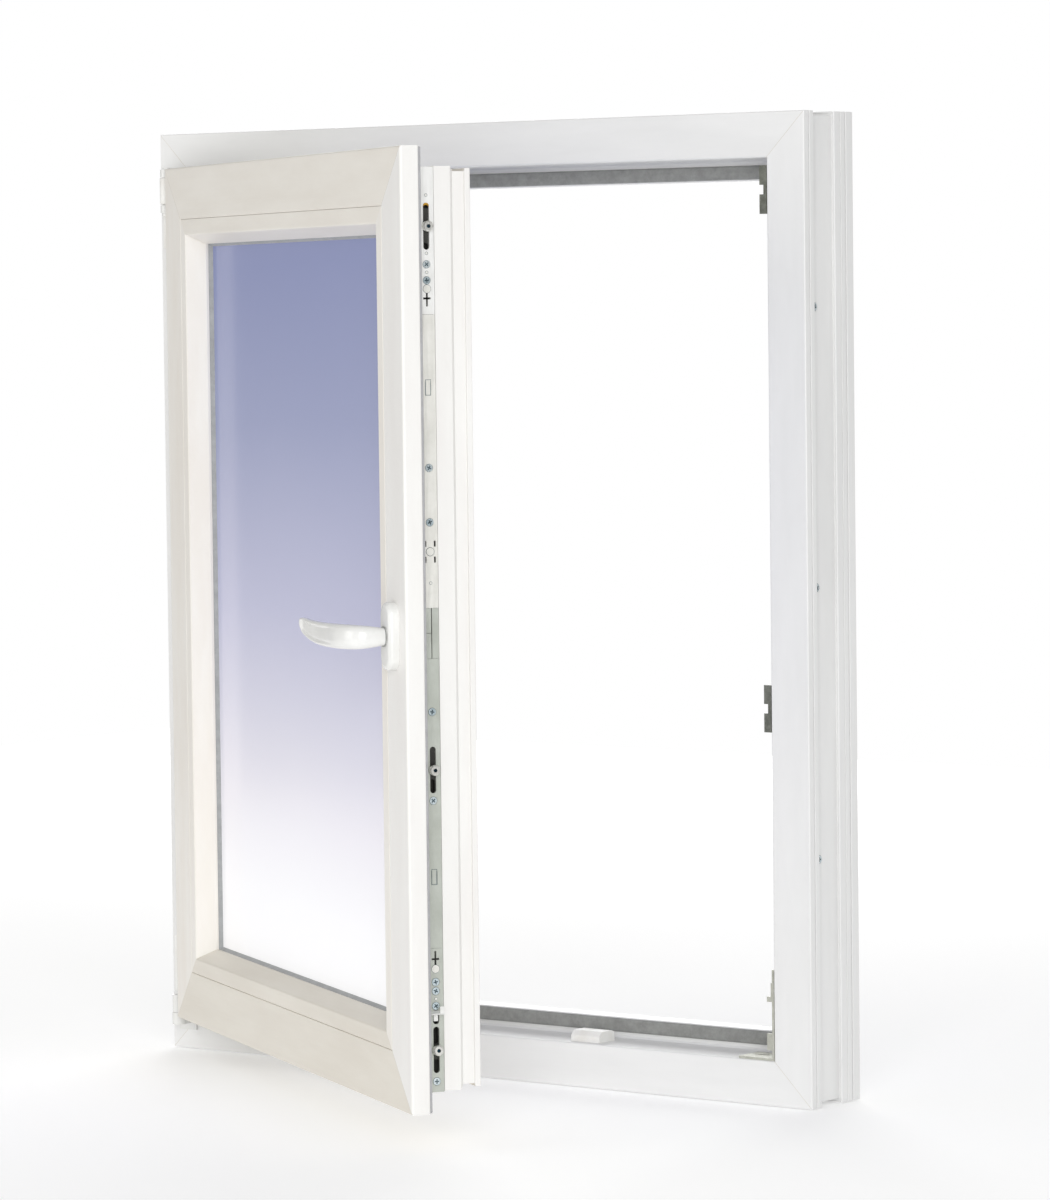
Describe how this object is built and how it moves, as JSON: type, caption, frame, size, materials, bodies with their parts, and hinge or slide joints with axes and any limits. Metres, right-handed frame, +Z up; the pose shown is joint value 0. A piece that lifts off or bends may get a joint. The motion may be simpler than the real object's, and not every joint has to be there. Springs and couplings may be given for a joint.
{
  "type": "casement window",
  "caption": "Inward-opening tilt-and-turn casement window: hollow plastic frame and double-glazed sash with locking gear, hinges and lever handle.",
  "frame": {"origin": "underside of the outer frame's sill, half-way along it, on the middle of its bed land (the flat strip 69 to 77 mm behind the room face)", "axes": "+X towards the lock jamb, +Y towards the outdoors, +Z up"},
  "size_m": [0.888, 0.5877, 1.05],
  "materials": {
    "frame_upvc": "smooth extruded white uPVC, satin gloss",
    "sash_upvc": "smooth extruded warm-white uPVC, satin gloss",
    "galvanised_steel": "galvanised",
    "grey_seal_rubber": "matt extruded EPDM",
    "light_seal_rubber": "matt light-grey extruded seal",
    "zinc_plated_steel": "silver zinc plating, satin",
    "zinc_casting": "die-cast zinc",
    "keeper_metal": "dull grey-olive die-cast zinc",
    "white_powder_coated_metal": "smooth white powder coat",
    "white_nylon": "moulded white nylon",
    "clear_glass": "float glass",
    "mill_aluminium": "roll-formed spacer bar",
    "black_sealant": "matt polysulphide",
    "packer_plastic": "moulded packer"
  },
  "bodies": {
    "frame": {"frame_sill": "frame_upvc", "frame_head": "frame_upvc", "frame_jamb_hinge": "frame_upvc", "frame_jamb_lock": "frame_upvc", "frame_steels": "galvanised_steel", "frame_seal": "grey_seal_rubber", "reinforcement_screws": "zinc_plated_steel", "keeper_upper": "keeper_metal", "keeper_middle": "keeper_metal", "keeper_corner": "keeper_metal", "keeper_screws": "zinc_plated_steel", "runup_block": "white_nylon", "corner_bearing": "white_powder_coated_metal", "corner_cover": "white_nylon", "stay_bearing": "white_powder_coated_metal", "stay_cover": "white_nylon", "stay_pin": "zinc_plated_steel", "bearing_screws": "zinc_plated_steel", "drain_caps": "white_nylon"},
    "pivot": {"corner_pivot": "zinc_plated_steel"},
    "stay": {"stay_arm": "zinc_plated_steel", "stay_slider": "zinc_plated_steel"},
    "sash": {"sash_sill": "sash_upvc", "sash_head": "sash_upvc", "sash_stile_hinge": "sash_upvc", "sash_stile_lock": "sash_upvc", "sash_steels": "galvanised_steel", "overlap_seal": "light_seal_rubber", "pane_inner": "clear_glass", "pane_outer": "clear_glass", "spacer_bar": "mill_aluminium", "edge_sealant": "black_sealant", "glazing_packers": "packer_plastic", "glazing_seal_outer": "grey_seal_rubber", "glazing_seal_inner": "grey_seal_rubber", "bead_bottom": "sash_upvc", "bead_top": "sash_upvc", "bead_hinge": "sash_upvc", "bead_lock": "sash_upvc", "faceplate_top": "zinc_plated_steel", "faceplate_upper": "zinc_plated_steel", "faceplate_gearbox": "zinc_plated_steel", "faceplate_lower": "zinc_plated_steel", "faceplate_bottom": "zinc_plated_steel", "hardware_screws": "zinc_plated_steel", "gearbox_case": "zinc_casting", "stay_rail": "zinc_plated_steel", "corner_band": "white_powder_coated_metal", "band_screws": "zinc_plated_steel", "handle_rose": "white_powder_coated_metal", "rose_screws": "zinc_plated_steel"},
    "rod": {"drive_rod": "zinc_plated_steel", "locking_cams": "zinc_plated_steel"},
    "handle": {"gear_follower": "zinc_casting", "handle_spindle": "zinc_plated_steel", "handle_lever": "white_powder_coated_metal"},
    "lockout": {"lockout_lever": "zinc_plated_steel"}
  },
  "joints": [
    {"name": "sash_swing", "type": "hinge", "parent": "frame", "child": "pivot", "pos_m": [-0.42, -0.091, 0.056], "axis": [0, 0, 1], "range_deg": [-57.8, 32.2]},
    {"name": "sash_tilt", "type": "hinge", "parent": "pivot", "child": "sash", "pos_m": [-0.42, -0.091, 0.056], "axis": [0.8462, -0.5329, 0], "range_deg": [0, 6]},
    {"name": "stay_swing", "type": "hinge", "parent": "pivot", "child": "stay", "pos_m": [-0.42, -0.091, 0.985], "axis": [0, 0, 1], "range_deg": [-16.5, 0]},
    {"name": "handle_turn", "type": "hinge", "parent": "sash", "child": "handle", "pos_m": [0.24392, -0.51736, 0.52], "axis": [0.5329, 0.8462, 0], "range_deg": [-90, 90]},
    {"name": "rod_slide", "type": "slide", "parent": "sash", "child": "rod", "axis": [0, 0, 1], "range_m": [-0.018, 0.018]},
    {"name": "lever_press", "type": "hinge", "parent": "sash", "child": "lockout", "pos_m": [0.27371, -0.49595, 0.141], "axis": [0.5329, 0.8462, 0], "range_deg": [0, 24], "stiffness_Nm_per_rad": 0.02}
  ],
  "couplings": [
    {"joint": "stay_swing", "follows": "sash_tilt", "ratio": -2.668},
    {"joint": "rod_slide", "follows": "handle_turn", "m_per_rad": -0.011459}
  ]
}
